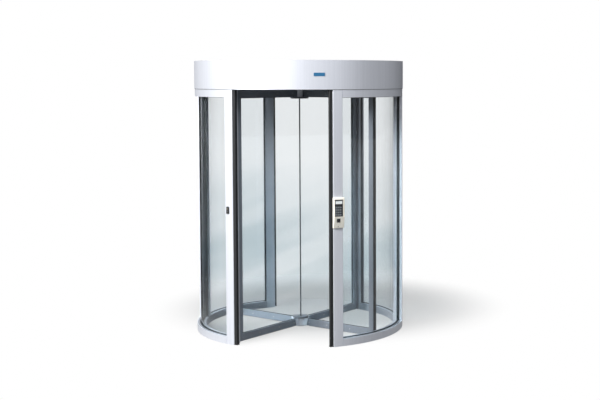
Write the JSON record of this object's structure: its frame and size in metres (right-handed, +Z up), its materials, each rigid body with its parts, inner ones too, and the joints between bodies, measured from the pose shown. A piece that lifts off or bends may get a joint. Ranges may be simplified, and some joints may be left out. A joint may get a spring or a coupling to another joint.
{
  "type": "revolving door",
  "caption": "Walk-through revolving door: glass wings on a central hub turning in a round glazed drum with a canopy, keypad terminal and key switch.",
  "frame": {"origin": "on the turning axis at floor level, under the middle of the drum", "axes": "+Z up along the turning axis, -Y out through the throat with the terminal and the key switch, +X to the right of someone facing that throat from outside"},
  "size_m": [1.818, 1.8176, 2.34],
  "materials": {
    "satin_aluminium": "satin anodised",
    "grey_aluminium": "steel grey anodised",
    "clear_glass": "clear float",
    "black_rubber": "matt",
    "steel_zinc": "zinc plated",
    "grey_panel": "grey powder coat",
    "light_trim": "white trim and lens",
    "black_plastic": "fine grained",
    "stainless": "ground",
    "motor_paint": "grey enamel",
    "box_paint": "light grey powder coat",
    "badge_enamel": "blue, blank",
    "cream_plastic": "smooth moulded",
    "display_face": "blank white display",
    "dark_window": "smoked window",
    "brass_barrel": "nickel washed",
    "gear_steel": "machined",
    "grey_keys": "soft touch"
  },
  "bodies": {
    "frame": {"base_rail_left": "satin_aluminium", "base_rail_right": "satin_aluminium", "head_rail_left": "satin_aluminium", "head_rail_right": "satin_aluminium", "post_front_left": "satin_aluminium", "post_front_right": "satin_aluminium", "post_rear_left": "satin_aluminium", "post_rear_right": "satin_aluminium", "mullion_left": "satin_aluminium", "mullion_right": "satin_aluminium", "drum_glass_left": "clear_glass", "drum_glass_right": "clear_glass", "drum_glazing_seals": "black_rubber", "throat_safety_edges": "black_rubber", "ring_beam": "steel_zinc", "cross_beams": "steel_zinc", "ceiling_panel": "grey_panel", "downlights": "light_trim", "ceiling_sensors": "black_plastic", "canopy_fascia": "satin_aluminium", "canopy_top_cover": "steel_zinc", "floor_pivot": "stainless", "bearing_plate": "steel_zinc", "gearmotor": "motor_paint", "control_box": "box_paint", "badge_plate": "badge_enamel", "key_switch_plate": "black_plastic", "terminal_housing": "cream_plastic", "terminal_key_panel": "black_plastic", "terminal_display": "display_face", "fingerprint_window": "dark_window"},
    "rotor": {"hub_lower": "grey_aluminium", "hub_upper": "grey_aluminium", "hub_caps": "grey_aluminium", "centre_profile": "grey_aluminium", "drive_shaft": "stainless", "drive_wheel": "gear_steel", "wing_sweep_seals": "black_rubber", "wing_1_frame": "grey_aluminium", "wing_1_glass": "clear_glass", "wing_2_frame": "grey_aluminium", "wing_2_glass": "clear_glass", "wing_3_frame": "grey_aluminium", "wing_3_glass": "clear_glass", "wing_4_frame": "grey_aluminium", "wing_4_glass": "clear_glass"},
    "pinion": {"drive_pinion": "gear_steel"},
    "key_barrel": {"key_switch_barrel": "brass_barrel"},
    "button_1": {"key_1": "grey_keys"},
    "button_2": {"key_2": "grey_keys"},
    "button_3": {"key_3": "grey_keys"},
    "button_4": {"key_4": "grey_keys"},
    "button_5": {"key_5": "grey_keys"},
    "button_6": {"key_6": "grey_keys"},
    "button_7": {"key_7": "grey_keys"},
    "button_8": {"key_8": "grey_keys"},
    "button_9": {"key_9": "grey_keys"},
    "button_star": {"key_star": "grey_keys"},
    "button_0": {"key_0": "grey_keys"},
    "button_hash": {"key_hash": "grey_keys"}
  },
  "joints": [
    {"name": "rotor_turn", "type": "hinge", "parent": "frame", "child": "rotor", "pos_m": [0, 0, 0], "axis": [0, 0, 1], "continuous": true},
    {"name": "pinion_turn", "type": "hinge", "parent": "frame", "child": "pinion", "pos_m": [0.1875, 0, 2.2], "axis": [0, 0, 1], "continuous": true},
    {"name": "key_switch_turn", "type": "hinge", "parent": "frame", "child": "key_barrel", "pos_m": [-0.46068, -0.77897, 1.125], "axis": [-0.509, -0.8607, 0], "range_deg": [0, 90]},
    {"name": "key_1_press", "type": "slide", "parent": "frame", "child": "button_1", "axis": [-0.497, 0.8678, 0], "range_m": [0, 0.0012], "stiffness_N_per_m": 300},
    {"name": "key_2_press", "type": "slide", "parent": "frame", "child": "button_2", "axis": [-0.497, 0.8678, 0], "range_m": [0, 0.0012], "stiffness_N_per_m": 300},
    {"name": "key_3_press", "type": "slide", "parent": "frame", "child": "button_3", "axis": [-0.497, 0.8678, 0], "range_m": [0, 0.0012], "stiffness_N_per_m": 300},
    {"name": "key_4_press", "type": "slide", "parent": "frame", "child": "button_4", "axis": [-0.497, 0.8678, 0], "range_m": [0, 0.0012], "stiffness_N_per_m": 300},
    {"name": "key_5_press", "type": "slide", "parent": "frame", "child": "button_5", "axis": [-0.497, 0.8678, 0], "range_m": [0, 0.0012], "stiffness_N_per_m": 300},
    {"name": "key_6_press", "type": "slide", "parent": "frame", "child": "button_6", "axis": [-0.497, 0.8678, 0], "range_m": [0, 0.0012], "stiffness_N_per_m": 300},
    {"name": "key_7_press", "type": "slide", "parent": "frame", "child": "button_7", "axis": [-0.497, 0.8678, 0], "range_m": [0, 0.0012], "stiffness_N_per_m": 300},
    {"name": "key_8_press", "type": "slide", "parent": "frame", "child": "button_8", "axis": [-0.497, 0.8678, 0], "range_m": [0, 0.0012], "stiffness_N_per_m": 300},
    {"name": "key_9_press", "type": "slide", "parent": "frame", "child": "button_9", "axis": [-0.497, 0.8678, 0], "range_m": [0, 0.0012], "stiffness_N_per_m": 300},
    {"name": "key_star_press", "type": "slide", "parent": "frame", "child": "button_star", "axis": [-0.497, 0.8678, 0], "range_m": [0, 0.0012], "stiffness_N_per_m": 300},
    {"name": "key_0_press", "type": "slide", "parent": "frame", "child": "button_0", "axis": [-0.497, 0.8678, 0], "range_m": [0, 0.0012], "stiffness_N_per_m": 300},
    {"name": "key_hash_press", "type": "slide", "parent": "frame", "child": "button_hash", "axis": [-0.497, 0.8678, 0], "range_m": [0, 0.0012], "stiffness_N_per_m": 300}
  ],
  "couplings": [
    {"joint": "pinion_turn", "follows": "rotor_turn", "ratio": -4}
  ]
}
